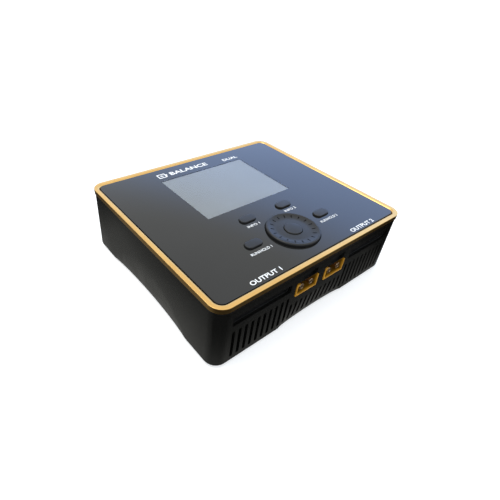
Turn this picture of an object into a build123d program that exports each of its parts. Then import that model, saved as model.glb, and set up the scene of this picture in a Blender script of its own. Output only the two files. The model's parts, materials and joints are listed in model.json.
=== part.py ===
"""Two-channel balance battery charger: case, controls, connectors, boards, fans and fasteners.

Millimetres. Z is up, X runs along the front and the front face looks towards -Y.
The origin is on the resting surface, under the centre of the case.
"""
from build123d import *
import os

os.makedirs("parts", exist_ok=True)

# ---- case ----------------------------------------------------------------------------------
case_length = 141.2            # along X
case_depth = 123.2             # along Y
case_corner = 7.1
wall = 2.2
floor = 2.0
foot_height = 1.5
case_base = foot_height        # underside of the case
ring_top = 41.6                # top of the gold ring
ring_height = 2.9
ring_overhang = 0.4            # the ring stands proud of the walls by this much
ring_width = 3.34              # seen from above
case_top = ring_top - ring_height
base_edge_radius = 0.9

front_y = -case_depth / 2      # outer faces of the walls
rear_y = case_depth / 2
side_x = case_length / 2
inner_front_y = front_y + wall
inner_rear_y = rear_y - wall

# ---- scoops in the lower walls: shallow hollows whose surface leans inwards ------------------
scoop_slope = 0.098            # inward travel per millimetre downwards
side_scoop_top = 21.5          # above the underside of the case
side_scoop_radius = 46.0       # radius of the arch drawn on the side wall
front_scoop_top = 14.5
front_scoop_half_width = 26.5

# ---- front vents ------------------------------------------------------------------------------
vent_pitch = 4.0
vent_width = 1.9
vent_bottom = 5.0
tall_vent_top = 22.8
short_vent_top = 16.4
last_vent = 15                 # vents run from -15 to +15
last_short_vent = 5

# ---- top panel and controls -------------------------------------------------------------------
panel_top = ring_top - 0.24
panel_thickness = 2.0
panel_base = panel_top - panel_thickness
panel_gap = 0.2                # between the panel and the ring
bezel_length, bezel_depth, bezel_sheet = 76.4, 56.8, 0.5
screen_length = 64.8
screen_depth = 48.6
screen_y = 19.8
wheel_y = -37.6
wheel_radius = 15.0
wheel_top = panel_top + 1.7
wheel_hole_radius = 15.4
centre_radius = 5.0
centre_top = panel_top + 1.5
button_length = 10.4
button_depth = 5.6
button_corner = 2.6
button_top = panel_top + 1.0
button_travel = 0.3
button_gap = 0.25
status_x, status_y = 14.2, -16.3
start_x, start_y = 26.7, -34.8
button_places = {
    "status_button_1": (-status_x, status_y),
    "status_button_2": (status_x, status_y),
    "start_button_1": (-start_x, start_y),
    "start_button_2": (start_x, start_y),
}

# ---- boards -----------------------------------------------------------------------------------
board_thickness = 1.6
display_board_top = 36.0
display_board_base = display_board_top - board_thickness
main_board_top = 21.8
main_board_base = main_board_top - board_thickness
frame_base = 37.4              # underside of the frame that carries the panel
post_x, post_y, post_radius = 63.2, 41.0, 4.2
post_top = 33.0
standoff_x, standoff_front_y, standoff_rear_y = 54.5, -48.0, 40.0
heatsink_x, heatsink_screw_y = 29.0, 30.0
inductor_spacing_x, inductor_spacing_y = 76.0, 26.0
foot_spacing_x, foot_spacing_y, foot_radius, foot_recess = 106.0, 92.0, 5.0, 0.5
display_screw_x, display_screw_y = 50.0, (-12.0, 40.0)

# ---- connectors -------------------------------------------------------------------------------
output_x, output_z = 11.1, 26.15
output_width, output_height = 16.4, 8.7
output_pin_spacing, output_pin_radius = 7.2, 1.75
output_face, output_pin_face = 62.0, 61.4   # distance of mouth and pin tips from the case centre
notch_offset, notch_width, notch_base, notch_top, notch_recess = 1.2, 11.0, 31.2, 35.0, 1.6
balance_x, balance_z = 42.4, 29.7
balance_port_width, balance_port_height = 37.8, 5.2
balance_pins, balance_pitch = 13, 2.5
input_z = 27.2
input_width, input_height = 21.2, 10.6
input_pin_spacing, input_pin_radius = 10.9, 2.25
input_face, input_pin_face = 62.0, 60.0
usb_x = 20.0
usb_face, usb_depth = 61.2, 6.0

# ---- fans -------------------------------------------------------------------------------------
fan_size, fan_thickness = 30.0, 10.0
fan_x, fan_z = 46.0, 19.0
fan_bore_radius = 14.2
fan_hole_spacing = 24.0
fan_front_y = inner_rear_y - fan_thickness
fan_screw_recess = 1.2


def keyed_outline(width, height, key):
    """Outline of a connector's mouth: a rectangle with two corners cut off on the -X side."""
    x, z = width / 2, height / 2
    return [(-x, z - key), (-x, key - z), (key - x, -z), (x, -z), (x, z), (key - x, z)]


def finish(piece, name):
    """Label a finished piece and write it as its own STEP file."""
    piece.part.label = name
    export_step(piece.part, f"parts/{name}.step")


# ==== case shells ================================================================================
with BuildPart() as cavity:    # the space inside the walls, kept a wall's thickness off the scoops
    with BuildSketch(Plane.XY.offset(case_base + floor)):
        RectangleRounded(case_length - 2 * wall, case_depth - 2 * wall, case_corner - wall)
    extrude(amount=case_top - case_base - floor)
    for side in (-1, 1):
        with BuildSketch(Plane.XY.offset(case_base)):
            with Locations((side * (side_x + scoop_slope * (side_scoop_radius - side_scoop_top)), 0)):
                Ellipse(scoop_slope * side_scoop_radius + wall, side_scoop_radius + wall)
        extrude(amount=side_scoop_top + 12, dir=(side * scoop_slope, 0, 1), mode=Mode.SUBTRACT)
    with BuildSketch(Plane.XY.offset(case_base)):
        with Locations((0, front_y)):
            Ellipse(front_scoop_half_width + wall, scoop_slope * front_scoop_top + wall)
    extrude(amount=front_scoop_top + 12, dir=(0, -scoop_slope, 1), mode=Mode.SUBTRACT)

with BuildPart() as lower_case:
    with BuildSketch(Plane.XY.offset(case_base)):
        RectangleRounded(case_length, case_depth, case_corner)
    extrude(amount=case_top - case_base)
    # scoops: an arch on each side wall and a lower one in the middle of the front wall
    for side in (-1, 1):
        with BuildSketch(Plane.XY.offset(case_base)):
            with Locations((side * (side_x + scoop_slope * (side_scoop_radius - side_scoop_top)), 0)):
                Ellipse(scoop_slope * side_scoop_radius, side_scoop_radius)
        extrude(amount=side_scoop_top + 6, dir=(side * scoop_slope, 0, 1), mode=Mode.SUBTRACT)
    with BuildSketch(Plane.XY.offset(case_base)):
        with Locations((0, front_y)):
            Ellipse(front_scoop_half_width, scoop_slope * front_scoop_top)
    extrude(amount=front_scoop_top + 6, dir=(0, -scoop_slope, 1), mode=Mode.SUBTRACT)
    fillet(lower_case.faces().sort_by(Axis.Z)[0].outer_wire().edges(), base_edge_radius)
    add(cavity.part, mode=Mode.SUBTRACT)
    # posts for the long case screws, and standoffs for the main board
    with BuildSketch(Plane.XY.offset(case_base + floor)):
        with GridLocations(2 * post_x, 2 * post_y, 2, 2):
            Circle(post_radius)
    extrude(amount=post_top - case_base - floor)
    with BuildSketch(Plane.XY.offset(case_base + floor)):
        for board_y in (standoff_front_y, standoff_rear_y):
            with Locations((-standoff_x, board_y), (standoff_x, board_y)):
                Circle(3.0)
    extrude(amount=main_board_base - case_base - floor)
    with BuildSketch(Plane.XY.offset(main_board_base)):
        for board_y in (standoff_front_y, standoff_rear_y):
            with Locations((-standoff_x, board_y), (standoff_x, board_y)):
                Circle(1.25)
    extrude(amount=-8, mode=Mode.SUBTRACT)
    with BuildSketch(Plane.XY.offset(case_base)):
        with GridLocations(2 * post_x, 2 * post_y, 2, 2):
            Circle(1.7)
    extrude(amount=post_top - case_base, mode=Mode.SUBTRACT)
    with BuildSketch(Plane.XY.offset(case_base)):
        with GridLocations(2 * post_x, 2 * post_y, 2, 2):
            Circle(3.1)
    extrude(amount=2.6, mode=Mode.SUBTRACT)
    # recesses that locate the rubber feet
    with BuildSketch(Plane.XY.offset(case_base)):
        with GridLocations(foot_spacing_x, foot_spacing_y, 2, 2):
            Circle(foot_radius + 0.2)
    extrude(amount=foot_recess, mode=Mode.SUBTRACT)
    # front wall: vents, output openings, balance ports, and a finger notch over each output
    with BuildSketch(Plane.XZ.offset(case_depth / 2)):
        for number in range(-last_vent, last_vent + 1):
            top = short_vent_top if abs(number) <= last_short_vent else tall_vent_top
            with Locations((number * vent_pitch, (vent_bottom + top) / 2)):
                RectangleRounded(vent_width, top - vent_bottom, vent_width / 2 - 0.05)
        for side in (-1, 1):
            with Locations((side * output_x, output_z)):
                RectangleRounded(output_width + 0.6, output_height + 0.5, 0.5)
            with Locations((side * balance_x, balance_z)):
                RectangleRounded(balance_port_width, balance_port_height, 0.5)
    extrude(amount=-7, mode=Mode.SUBTRACT)
    with BuildSketch(Plane.XZ.offset(case_depth / 2)):
        for side in (-1, 1):
            with Locations((side * output_x + notch_offset, (notch_base + notch_top) / 2)):
                RectangleRounded(notch_width, notch_top - notch_base, 1.0)
    extrude(amount=-notch_recess, mode=Mode.SUBTRACT)
    # rear wall: input and data openings, fan screw holes and a ring-shaped grille for each fan
    with BuildSketch(Plane.XZ.offset(-case_depth / 2)):
        with Locations((0, input_z)):
            RectangleRounded(input_width + 0.6, input_height + 0.4, 0.5)
        with Locations((usb_x, main_board_top + 1.6)):
            RectangleRounded(8.8, 3.8, 0.8)
        with Locations((-fan_x, fan_z), (fan_x, fan_z)):
            with GridLocations(fan_hole_spacing, fan_hole_spacing, 2, 2):
                Circle(1.6)
    extrude(amount=4, mode=Mode.SUBTRACT)
    with BuildSketch(Plane.XZ.offset(-case_depth / 2)):
        with Locations((-fan_x, fan_z), (fan_x, fan_z)):
            with GridLocations(fan_hole_spacing, fan_hole_spacing, 2, 2):
                Circle(2.7)
    extrude(amount=fan_screw_recess, mode=Mode.SUBTRACT)
    for side in (-1, 1):
        with BuildSketch(Plane.XZ.offset(-case_depth / 2)):
            with Locations((side * fan_x, fan_z)):
                for outer_radius in (13.4, 9.8, 6.2):
                    Circle(outer_radius)
                    Circle(outer_radius - 2.2, mode=Mode.SUBTRACT)
                for spoke in range(4):
                    Rectangle(2 * fan_bore_radius, 1.5, rotation=45 * spoke, mode=Mode.SUBTRACT)
        extrude(amount=4, mode=Mode.SUBTRACT)
finish(lower_case, "lower_case")

ring_inner_length = case_length + 2 * ring_overhang - 2 * ring_width
ring_inner_depth = case_depth + 2 * ring_overhang - 2 * ring_width
ring_inner_corner = case_corner + ring_overhang - ring_width

with BuildPart() as accent_ring:
    with BuildSketch(Plane.XY.offset(case_top)):
        RectangleRounded(case_length + 2 * ring_overhang, case_depth + 2 * ring_overhang,
                         case_corner + ring_overhang)
        RectangleRounded(ring_inner_length, ring_inner_depth, ring_inner_corner, mode=Mode.SUBTRACT)
    extrude(amount=ring_height)
    fillet(accent_ring.faces().sort_by(Axis.Z)[-1].outer_wire().edges(), 1.4)
    fillet(accent_ring.faces().sort_by(Axis.Z)[0].outer_wire().edges(), 1.4)
finish(accent_ring, "accent_ring")

with BuildPart() as top_frame:     # black tray that carries the panel and the display board
    with BuildSketch(Plane.XY.offset(frame_base)):
        RectangleRounded(case_length - 2 * wall - 0.4, case_depth - 2 * wall - 0.4, case_corner - wall)
    extrude(amount=case_top - frame_base)
    with BuildSketch(Plane.XY.offset(case_top)):
        RectangleRounded(ring_inner_length - 0.3, ring_inner_depth - 0.3, ring_inner_corner)
    extrude(amount=panel_base - case_top)
    with BuildSketch(Plane.XY.offset(frame_base)):
        with Locations((0, screen_y)):
            Rectangle(bezel_length + 0.6, bezel_depth + 0.6)
        with Locations((0, wheel_y)):
            Circle(wheel_hole_radius + 0.8)
        with Locations(*button_places.values()):
            RectangleRounded(button_length + 3.0, button_depth + 3.0, button_corner + 1)
    extrude(amount=panel_base - frame_base, mode=Mode.SUBTRACT)
    # bosses for the case screws and for the display board's screws
    with BuildSketch(Plane.XY.offset(post_top)):
        with GridLocations(2 * post_x, 2 * post_y, 2, 2):
            Circle(post_radius)
    extrude(amount=frame_base - post_top)
    with BuildSketch(Plane.XY.offset(display_board_top)):
        for screw_y in display_screw_y:
            with Locations((-display_screw_x, screw_y), (display_screw_x, screw_y)):
                Circle(2.6)
    extrude(amount=frame_base - display_board_top)
    with BuildSketch(Plane.XY.offset(post_top)):
        with GridLocations(2 * post_x, 2 * post_y, 2, 2):
            Circle(1.5)
    extrude(amount=5.0, mode=Mode.SUBTRACT)
    with BuildSketch(Plane.XY.offset(display_board_top)):
        for screw_y in display_screw_y:
            with Locations((-display_screw_x, screw_y), (display_screw_x, screw_y)):
                Circle(1.0)
    extrude(amount=2.6, mode=Mode.SUBTRACT)
finish(top_frame, "top_frame")

with BuildPart() as top_panel:
    with BuildSketch(Plane.XY.offset(panel_base)):
        RectangleRounded(ring_inner_length - 2 * panel_gap, ring_inner_depth - 2 * panel_gap,
                         ring_inner_corner - panel_gap)
    extrude(amount=panel_thickness)
    chamfer(top_panel.faces().sort_by(Axis.Z)[-1].edges(), 0.25)
    with BuildSketch(Plane.XY.offset(panel_base)):
        with Locations((0, screen_y)):
            RectangleRounded(screen_length, screen_depth, 0.4)
        with Locations((0, wheel_y)):
            Circle(wheel_hole_radius)
        with Locations(*button_places.values()):
            RectangleRounded(button_length + 2 * button_gap, button_depth + 2 * button_gap,
                             button_corner + button_gap)
    extrude(amount=panel_thickness, mode=Mode.SUBTRACT)
finish(top_panel, "top_panel")

# ==== display ====================================================================================
with BuildPart() as display_window:
    with BuildSketch(Plane.XY.offset(panel_base)):
        with Locations((0, screen_y)):
            RectangleRounded(screen_length - 0.3, screen_depth - 0.3, 0.3)
    extrude(amount=panel_thickness - 0.06)
finish(display_window, "display_window")

with BuildPart() as lcd_bezel:     # pressed metal can around the display
    with BuildSketch(Plane.XY.offset(display_board_top)):
        with Locations((0, screen_y)):
            RectangleRounded(bezel_length, bezel_depth, 1.0)
    extrude(amount=panel_base - display_board_top)
    with BuildSketch(Plane.XY.offset(display_board_top)):
        with Locations((0, screen_y)):
            Rectangle(bezel_length - 2 * bezel_sheet, bezel_depth - 2 * bezel_sheet)
    extrude(amount=panel_base - display_board_top - bezel_sheet, mode=Mode.SUBTRACT)
    with BuildSketch(Plane.XY.offset(display_board_top)):
        with Locations((0, screen_y)):
            Rectangle(screen_length + 0.4, screen_depth + 0.4)
    extrude(amount=panel_base - display_board_top, mode=Mode.SUBTRACT)
finish(lcd_bezel, "lcd_bezel")

backlight_thickness = 1.3
with BuildPart() as lcd_backlight:
    with BuildSketch(Plane.XY.offset(display_board_top)):
        with Locations((0, screen_y)):
            Rectangle(bezel_length - 2 * bezel_sheet - 0.2, bezel_depth - 2 * bezel_sheet - 0.2)
    extrude(amount=backlight_thickness)
finish(lcd_backlight, "lcd_backlight")

with BuildPart() as lcd_glass:
    with BuildSketch(Plane.XY.offset(display_board_top + backlight_thickness)):
        with Locations((0, screen_y)):
            Rectangle(bezel_length - 2 * bezel_sheet - 0.2, bezel_depth - 2 * bezel_sheet - 0.2)
    extrude(amount=panel_base - bezel_sheet - display_board_top - backlight_thickness)
finish(lcd_glass, "lcd_glass")

ribbon_slot_y = screen_y + bezel_depth / 2 + 2.5
ribbon_slot_length, ribbon_slot_width = 24.0, 1.6
with BuildPart() as display_board:
    with BuildSketch(Plane.XY.offset(display_board_base)):
        with Locations((0, -1.0)):
            RectangleRounded(126.0, 114.0, 2.0)
        with GridLocations(2 * post_x, 2 * post_y, 2, 2):
            Circle(post_radius + 0.8, mode=Mode.SUBTRACT)
        with Locations((0, ribbon_slot_y)):
            Rectangle(ribbon_slot_length, ribbon_slot_width, mode=Mode.SUBTRACT)
        for screw_y in display_screw_y:
            with Locations((-display_screw_x, screw_y), (display_screw_x, screw_y)):
                Circle(1.2, mode=Mode.SUBTRACT)
    extrude(amount=board_thickness)
finish(display_board, "display_board")

ribbon_width, ribbon_sheet = 20.0, 0.2
ribbon_start_y = screen_y + bezel_depth / 2
ribbon_end_y = ribbon_start_y - 2.7
ribbon_top, ribbon_low = display_board_top + 0.6, display_board_base - 1.0
with BuildPart() as display_ribbon:    # flat cable from the display round to the board's underside
    with BuildSketch(Plane.YZ):
        with BuildLine():
            Polyline((ribbon_start_y, ribbon_top), (ribbon_slot_y + ribbon_sheet, ribbon_top),
                     (ribbon_slot_y + ribbon_sheet, ribbon_low), (ribbon_end_y, ribbon_low),
                     (ribbon_end_y, ribbon_low + ribbon_sheet), (ribbon_slot_y, ribbon_low + ribbon_sheet),
                     (ribbon_slot_y, ribbon_top - ribbon_sheet),
                     (ribbon_start_y, ribbon_top - ribbon_sheet), close=True)
        make_face()
    extrude(amount=ribbon_width / 2, both=True)
finish(display_ribbon, "display_ribbon")

with BuildPart() as ribbon_socket:
    with BuildSketch(Plane.XY.offset(display_board_base)):
        with Locations((0, ribbon_start_y - 5.2)):
            Rectangle(ribbon_slot_length, 5.0)
    extrude(amount=-2.0)
finish(ribbon_socket, "ribbon_socket")

# ==== wheel, buttons and their switches =========================================================
switch_size, switch_height = 6.0, 1.2
plunger_radius, plunger_base = 1.6, display_board_top + 0.6
plunger_top = display_board_top + 1.8
switch_places = list(button_places.values()) + [(0, wheel_y)]

with BuildPart() as switch_bodies:
    with BuildSketch(Plane.XY.offset(display_board_top)):
        with Locations(*switch_places):
            Rectangle(switch_size, switch_size)
    extrude(amount=switch_height)
    with BuildSketch(Plane.XY.offset(display_board_top + 0.2)):
        with Locations(*switch_places):
            Circle(plunger_radius + 0.05)
    extrude(amount=switch_height, mode=Mode.SUBTRACT)
finish(switch_bodies, "switch_bodies")

for name, place in button_places.items():
    with BuildPart() as button:
        with BuildSketch(Plane.XY.offset(panel_base - 0.1)):
            with Locations(place):
                RectangleRounded(button_length, button_depth, button_corner)
        extrude(amount=button_top - panel_base + 0.1)
        fillet(button.faces().sort_by(Axis.Z)[-1].edges(), 0.4)
        with BuildSketch(Plane.XY.offset(panel_base - 0.1)):
            with Locations(place):
                RectangleRounded(button_length + 2.2, button_depth + 2.2, button_corner + 0.6)
        extrude(amount=-0.9)
        with BuildSketch(Plane.XY.offset(panel_base - 1.0)):
            with Locations(place):
                Circle(1.5)
        extrude(amount=plunger_top - panel_base + 1.0)
    finish(button, name)
    with BuildPart() as plunger:
        with BuildSketch(Plane.XY.offset(plunger_base)):
            with Locations(place):
                Circle(plunger_radius)
        extrude(amount=plunger_top - plunger_base)
    finish(plunger, name.replace("button", "plunger"))

with BuildPart() as centre_plunger:
    with BuildSketch(Plane.XY.offset(plunger_base)):
        with Locations((0, wheel_y)):
            Circle(plunger_radius)
    extrude(amount=plunger_top - plunger_base)
finish(centre_plunger, "centre_plunger")

# The encoder is a ring, so that the centre button can reach its switch through the middle of it.
sleeve_bore, sleeve_radius, sleeve_top = 5.3, 6.0, 40.4
rotor_bore, rotor_radius, rotor_top = 6.06, 7.2, 41.0
with BuildPart() as encoder_body:
    with BuildSketch(Plane.XY.offset(display_board_top)):
        with Locations((0, wheel_y)):
            Circle(11.0)
    extrude(amount=2.0)
    with BuildSketch(Plane.XY.offset(display_board_top + 2.0)):
        with Locations((0, wheel_y)):
            Circle(sleeve_radius)
    extrude(amount=sleeve_top - display_board_top - 2.0)
    with BuildSketch(Plane.XY.offset(display_board_top)):
        with Locations((0, wheel_y)):
            Circle(sleeve_bore)
    extrude(amount=sleeve_top - display_board_top, mode=Mode.SUBTRACT)
finish(encoder_body, "encoder_body")

with BuildPart() as encoder_rotor:
    with BuildSketch(Plane.XY.offset(display_board_top + 2.3)):
        with Locations((0, wheel_y)):
            Circle(10.5)
    extrude(amount=0.5)
    with BuildSketch(Plane.XY.offset(display_board_top + 2.8)):
        with Locations((0, wheel_y)):
            Circle(rotor_radius)
    extrude(amount=rotor_top - display_board_top - 2.8)
    with BuildSketch(Plane.XY.offset(display_board_top + 2.3)):
        with Locations((0, wheel_y)):
            Circle(rotor_bore)
    extrude(amount=rotor_top - display_board_top - 2.3, mode=Mode.SUBTRACT)
finish(encoder_rotor, "encoder_rotor")

wheel_base, wheel_web = 39.0, 39.4       # lower edge of the rim, and of the wall on the rotor
tick_count, tick_radius, tick_length, tick_width, tick_depth = 18, 11.6, 2.2, 0.6, 0.4
dish_top = wheel_top - 0.75        # the dished face at the centre hole
with BuildPart() as jog_wheel:
    with BuildSketch(Plane.XZ.offset(-wheel_y)):
        with BuildLine():
            Line((sleeve_bore, dish_top), (8.5, dish_top - 0.1))
            ThreePointArc((8.5, dish_top - 0.1), (11.4, dish_top + 0.08), (13.9, wheel_top))
            Line((13.9, wheel_top), (14.3, wheel_top))
            ThreePointArc((14.3, wheel_top), (14.8, wheel_top - 0.22), (wheel_radius, wheel_top - 0.7))
            Polyline((wheel_radius, wheel_top - 0.7), (wheel_radius, wheel_base), (13.6, wheel_base),
                     (13.6, rotor_top), (9.0, rotor_top), (9.0, wheel_web), (rotor_radius, wheel_web),
                     (rotor_radius, rotor_top), (sleeve_bore, rotor_top), (sleeve_bore, dish_top))
        make_face()
    revolve(axis=Axis((0, wheel_y, 0), (0, 0, 1)))
    with BuildSketch(Plane.XY.offset(dish_top + 0.1 - tick_depth)):
        with Locations((0, wheel_y)):
            with PolarLocations(tick_radius, tick_count, start_angle=8):
                SlotOverall(tick_length, tick_width)
    extrude(amount=2.0, mode=Mode.SUBTRACT)
finish(jog_wheel, "jog_wheel")

button_shelf, skirt_base = 41.2, 38.8    # where the cap's stem and its guiding skirt begin
with BuildPart() as centre_button:
    with BuildSketch(Plane.XY.offset(button_shelf)):
        with Locations((0, wheel_y)):
            Circle(centre_radius)
    extrude(amount=centre_top - button_shelf)
    fillet(centre_button.faces().sort_by(Axis.Z)[-1].edges(), 0.4)
    with BuildSketch(Plane.XY.offset(plunger_top)):
        with Locations((0, wheel_y)):
            Circle(2.5)
    extrude(amount=button_shelf - plunger_top)
    with BuildSketch(Plane.XY.offset(skirt_base)):
        with Locations((0, wheel_y)):
            Circle(sleeve_bore - 0.08)
    extrude(amount=0.9)
finish(centre_button, "centre_button")

# ==== main board and what stands on it ===========================================================
tongue_length = 56.0              # the part of the board that reaches back to the input connector
with BuildPart() as main_board:
    with BuildSketch(Plane.XY.offset(main_board_base)):
        with Locations((0, -5.7)):
            Rectangle(116.0, 105.4)
        with Locations((0, 50.0)):
            Rectangle(tongue_length, 17.0)
        for board_y in (standoff_front_y, standoff_rear_y):
            with Locations((-standoff_x, board_y), (standoff_x, board_y)):
                Circle(1.4, mode=Mode.SUBTRACT)
        with GridLocations(2 * heatsink_x, 2 * heatsink_screw_y, 2, 2):
            Circle(1.6, mode=Mode.SUBTRACT)
    extrude(amount=board_thickness)
finish(main_board, "main_board")

# ---- output connectors: a keyed shell around two bullet pins --------------------------------
for number, side in ((1, -1), (2, 1)):
    with BuildPart() as output_pins:
        with BuildSketch(Plane.XZ.offset(output_pin_face)):
            with Locations((side * output_x, output_z)):
                with GridLocations(output_pin_spacing, 1, 2, 1):
                    Circle(output_pin_radius)
        extrude(amount=-15.6)
        with BuildSketch(Plane.XZ.offset(output_pin_face)):
            with Locations((side * output_x, output_z)):
                with GridLocations(output_pin_spacing, 1, 2, 1):
                    Circle(1.05)
        extrude(amount=-6.0, mode=Mode.SUBTRACT)
        with BuildSketch(Plane.XY.offset(main_board_top)):
            with Locations((side * output_x, -44.4)):
                with GridLocations(output_pin_spacing, 1, 2, 1):
                    Rectangle(2.4, 1.2)
        extrude(amount=output_z - main_board_top)
    finish(output_pins, f"output_pins_{number}")
    with BuildPart() as output_shell:
        with BuildSketch(Plane.XZ.offset(output_face)):
            with Locations((side * output_x, output_z)):
                RectangleRounded(output_width, output_height, 0.4)
        extrude(amount=-15.8)
        with BuildSketch(Plane.XZ.offset(output_face)):
            with Locations((side * output_x, output_z)):
                Polygon(*keyed_outline(output_width - 1.6, output_height - 1.5, 1.6), align=None)
        extrude(amount=-11.5, mode=Mode.SUBTRACT)
        # the upper edge of the mouth stands back behind the case wall's opening
        with BuildSketch(Plane.XZ.offset(output_face)):
            with Locations((side * output_x, output_z + output_height / 2)):
                Rectangle(output_width + 1.0, 1.5)
        extrude(amount=-1.8, mode=Mode.SUBTRACT)
        with BuildSketch(Plane.XZ.offset(output_face)):
            with Locations((side * output_x, output_z)):
                with GridLocations(output_pin_spacing, 1, 2, 1):
                    Circle(output_pin_radius)
        extrude(amount=-16, mode=Mode.SUBTRACT)
    finish(output_shell, f"output_shell_{number}")

# ---- balance sockets: thirteen square pins in a long shell under the display board ----------
balance_shell_front = -60.0       # the mouth lies back from the outside of the wall
for number, side in ((1, -1), (2, 1)):
    with BuildPart() as balance_row:
        with BuildSketch(Plane.YZ.offset(side * balance_x)) as pin_side:
            with BuildLine():
                Polyline((-58.6, balance_z - 0.32), (-50.4, balance_z - 0.32), (-50.4, display_board_base),
                         (-51.04, display_board_base), (-51.04, balance_z + 0.32),
                         (-58.6, balance_z + 0.32), close=True)
            make_face()
        one_pin = extrude(pin_side.sketch, amount=0.32, both=True, mode=Mode.PRIVATE)
        with GridLocations(balance_pitch, 1, balance_pins, 1):
            add(one_pin)
    finish(balance_row, f"balance_pins_{number}")
    with BuildPart() as balance_socket:
        with BuildSketch(Plane.XZ.offset(-inner_front_y)):
            with Locations((side * balance_x, (display_board_base + 27.1) / 2)):
                Rectangle(37.0, display_board_base - 27.1)
        extrude(amount=-9.9)
        with BuildSketch(Plane.XZ.offset(-balance_shell_front)):
            with Locations((side * balance_x, balance_z)):
                Rectangle(36.9, 4.8)
        extrude(amount=balance_shell_front - inner_front_y)
        with BuildSketch(Plane.XZ.offset(-balance_shell_front)):
            with Locations((side * balance_x, balance_z)):
                Rectangle(35.3, 3.9)
        extrude(amount=-8.4, mode=Mode.SUBTRACT)
        add(balance_row.part, mode=Mode.SUBTRACT)
    finish(balance_socket, f"balance_socket_{number}")

# ---- power stage under and over the main board ----------------------------------------------
transistor_thickness = 1.5
heatsink_base_thickness, heatsink_floor = 3.0, 5.0
heatsink_top = main_board_base - transistor_thickness
heatsink_length, heatsink_width = 84.0, 42.0
fin_count, fin_thickness = 11, 1.2
fin_pitch = (heatsink_width - fin_thickness) / (fin_count - 1)
for number, side in ((1, -1), (2, 1)):
    with BuildPart() as heatsink:
        with BuildSketch(Plane.XY.offset(heatsink_top)):
            with Locations((side * heatsink_x, 0)):
                Rectangle(heatsink_width, heatsink_length)
        extrude(amount=-heatsink_base_thickness)
        with BuildSketch(Plane.XY.offset(heatsink_top - heatsink_base_thickness)):
            with Locations((side * heatsink_x, 0)):
                with GridLocations(fin_pitch, 1, fin_count, 1):
                    Rectangle(fin_thickness, heatsink_length)
        extrude(amount=heatsink_floor - heatsink_top + heatsink_base_thickness)
        with BuildSketch(Plane.XY.offset(heatsink_top)):
            with Locations((side * heatsink_x, 0)):
                with GridLocations(1, 2 * heatsink_screw_y, 1, 2):
                    Circle(1.25)
        extrude(amount=-2.5, mode=Mode.SUBTRACT)
    finish(heatsink, f"heatsink_{number}")

with BuildPart() as transistors:
    with BuildSketch(Plane.XY.offset(heatsink_top)):
        for side in (-1, 1):
            with Locations((side * heatsink_x, 0)):
                with GridLocations(22.0, 11.0, 2, 4):
                    Rectangle(10.0, 6.0)
    extrude(amount=transistor_thickness)
finish(transistors, "transistors")

inductor_size, inductor_height = 20.0, 11.0
with BuildPart() as inductor_cores:
    with BuildSketch(Plane.XY.offset(main_board_top)):
        with GridLocations(inductor_spacing_x, inductor_spacing_y, 2, 2):
            RectangleRounded(inductor_size, inductor_size, 2.5)
    extrude(amount=inductor_height)
    with BuildSketch(Plane.XY.offset(main_board_top + 1.5)):
        with GridLocations(inductor_spacing_x, inductor_spacing_y, 2, 2):
            Circle(8.6)
            Circle(4.0, mode=Mode.SUBTRACT)
    extrude(amount=inductor_height, mode=Mode.SUBTRACT)
finish(inductor_cores, "inductor_cores")

with BuildPart() as inductor_coils:
    with BuildSketch(Plane.XY.offset(main_board_top + 1.5)):
        with GridLocations(inductor_spacing_x, inductor_spacing_y, 2, 2):
            Circle(8.4)
            Circle(4.2, mode=Mode.SUBTRACT)
    extrude(amount=inductor_height - 2.5)
finish(inductor_coils, "inductor_coils")

with BuildPart() as capacitors:
    with BuildSketch(Plane.XY.offset(main_board_top)):
        with Locations((0, 24.0)):
            with GridLocations(12.0, 13.0, 3, 2):
                Circle(5.0)
    extrude(amount=11.6)
    fillet(capacitors.faces().group_by(Axis.Z)[-1].edges(), 0.5)
finish(capacitors, "capacitors")

with BuildPart() as fuses:
    with BuildSketch(Plane.XY.offset(main_board_top)):
        with GridLocations(36.0, 1, 2, 1):
            with Locations((0, 44.0)):
                Rectangle(11.0, 4.0)
    extrude(amount=3.0)
    chamfer(fuses.edges().filter_by(Axis.Z), 0.6)
finish(fuses, "fuses")

with BuildPart() as shunts:        # bent metal strips that sense the current of each output
    with BuildSketch(Plane.XZ.offset(38.0)):
        with GridLocations(2 * output_x, 1, 2, 1):
            with Locations((0, main_board_top)):
                Polygon((-6, 0), (-4, 0), (-3, 1.6), (3, 1.6), (4, 0), (6, 0), (6, 0.8),
                        (4.4, 0.8), (3.4, 2.4), (-3.4, 2.4), (-4.4, 0.8), (-6, 0.8), align=None)
    extrude(amount=-4.0)
finish(shunts, "shunts")

with BuildPart() as control_chips:
    with BuildSketch(Plane.XY.offset(display_board_base)):
        with Locations((20.0, -20.0)):
            Rectangle(12.0, 12.0)
        with Locations((-22.0, -16.0), (-22.0, -28.0)):
            Rectangle(8.0, 6.0)
    extrude(amount=-1.2)
    with BuildSketch(Plane.XY.offset(main_board_top)):
        with GridLocations(40.0, 14.0, 2, 2):
            with Locations((0, -16.0)):
                Rectangle(6.0, 5.0)
    extrude(amount=1.2)
finish(control_chips, "control_chips")

with BuildPart() as buzzer:
    with BuildSketch(Plane.XY.offset(main_board_top)):
        with Locations((-19.0, 54.0)):
            Circle(4.5)
    extrude(amount=7.0)
    with BuildSketch(Plane.XY.offset(main_board_top + 7.0)):
        with Locations((-19.0, 54.0)):
            Circle(1.0)
    extrude(amount=-2.0, mode=Mode.SUBTRACT)
finish(buzzer, "buzzer")

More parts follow.
